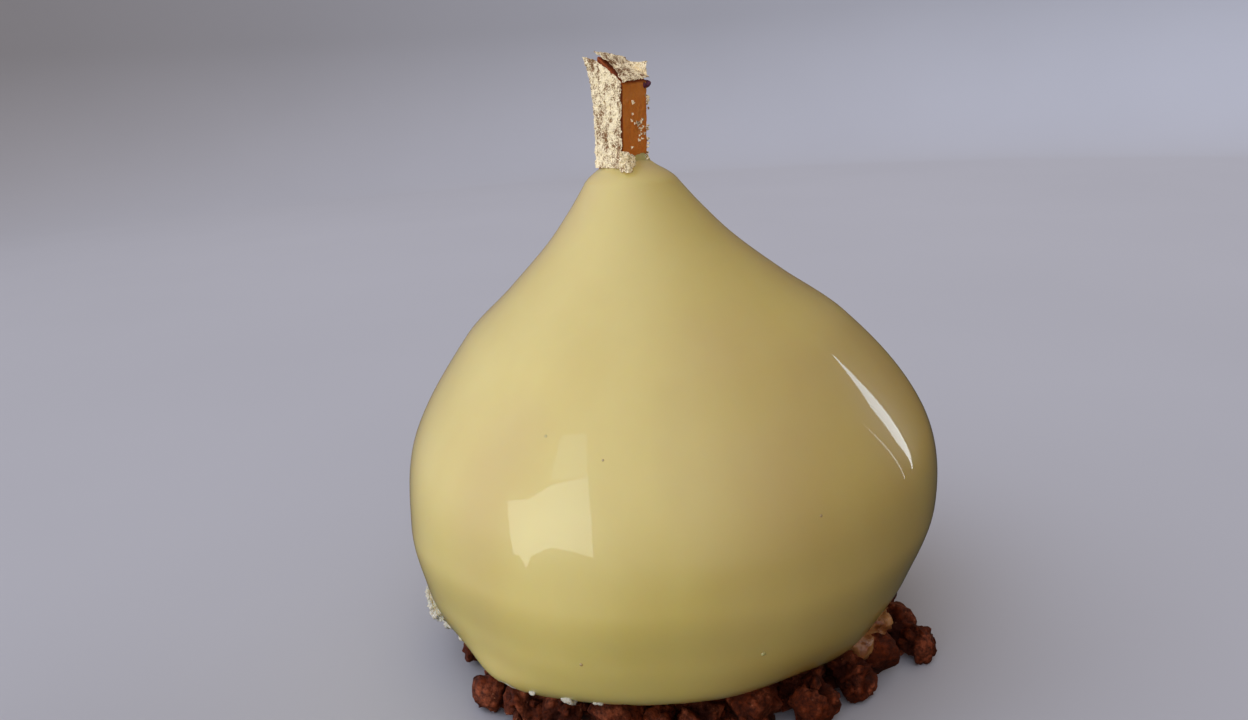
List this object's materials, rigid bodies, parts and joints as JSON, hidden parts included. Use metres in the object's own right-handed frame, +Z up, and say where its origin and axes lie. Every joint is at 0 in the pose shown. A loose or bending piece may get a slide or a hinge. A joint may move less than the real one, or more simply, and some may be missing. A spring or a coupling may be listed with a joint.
{
  "type": "individual entremet cake",
  "caption": "Drop-shaped mousse cake under a glossy pale yellow glaze, on a ring of dark baked crumble, with a small caramel bar dressed in gold leaf standing in its tip.",
  "frame": {"origin": "middle of the flat underside of the crumble, on the surface that the cake stands on", "axes": "+Z up through the tip, -Y towards the viewer of the picture, +X to the viewer's right"},
  "size_m": [0.0724, 0.0723, 0.0796],
  "materials": {
    "baked_crumble": "rough, reddish dark brown",
    "pale_yellow_glaze": "high gloss, slightly see-through",
    "amber_caramel": "satin",
    "gold_leaf": "crumpled bright leaf"
  },
  "bodies": {
    "root": {"crumble": "baked_crumble", "glazed_body": "pale_yellow_glaze", "caramel_bar": "amber_caramel", "gold_leaf": "gold_leaf"}
  },
  "joints": []
}
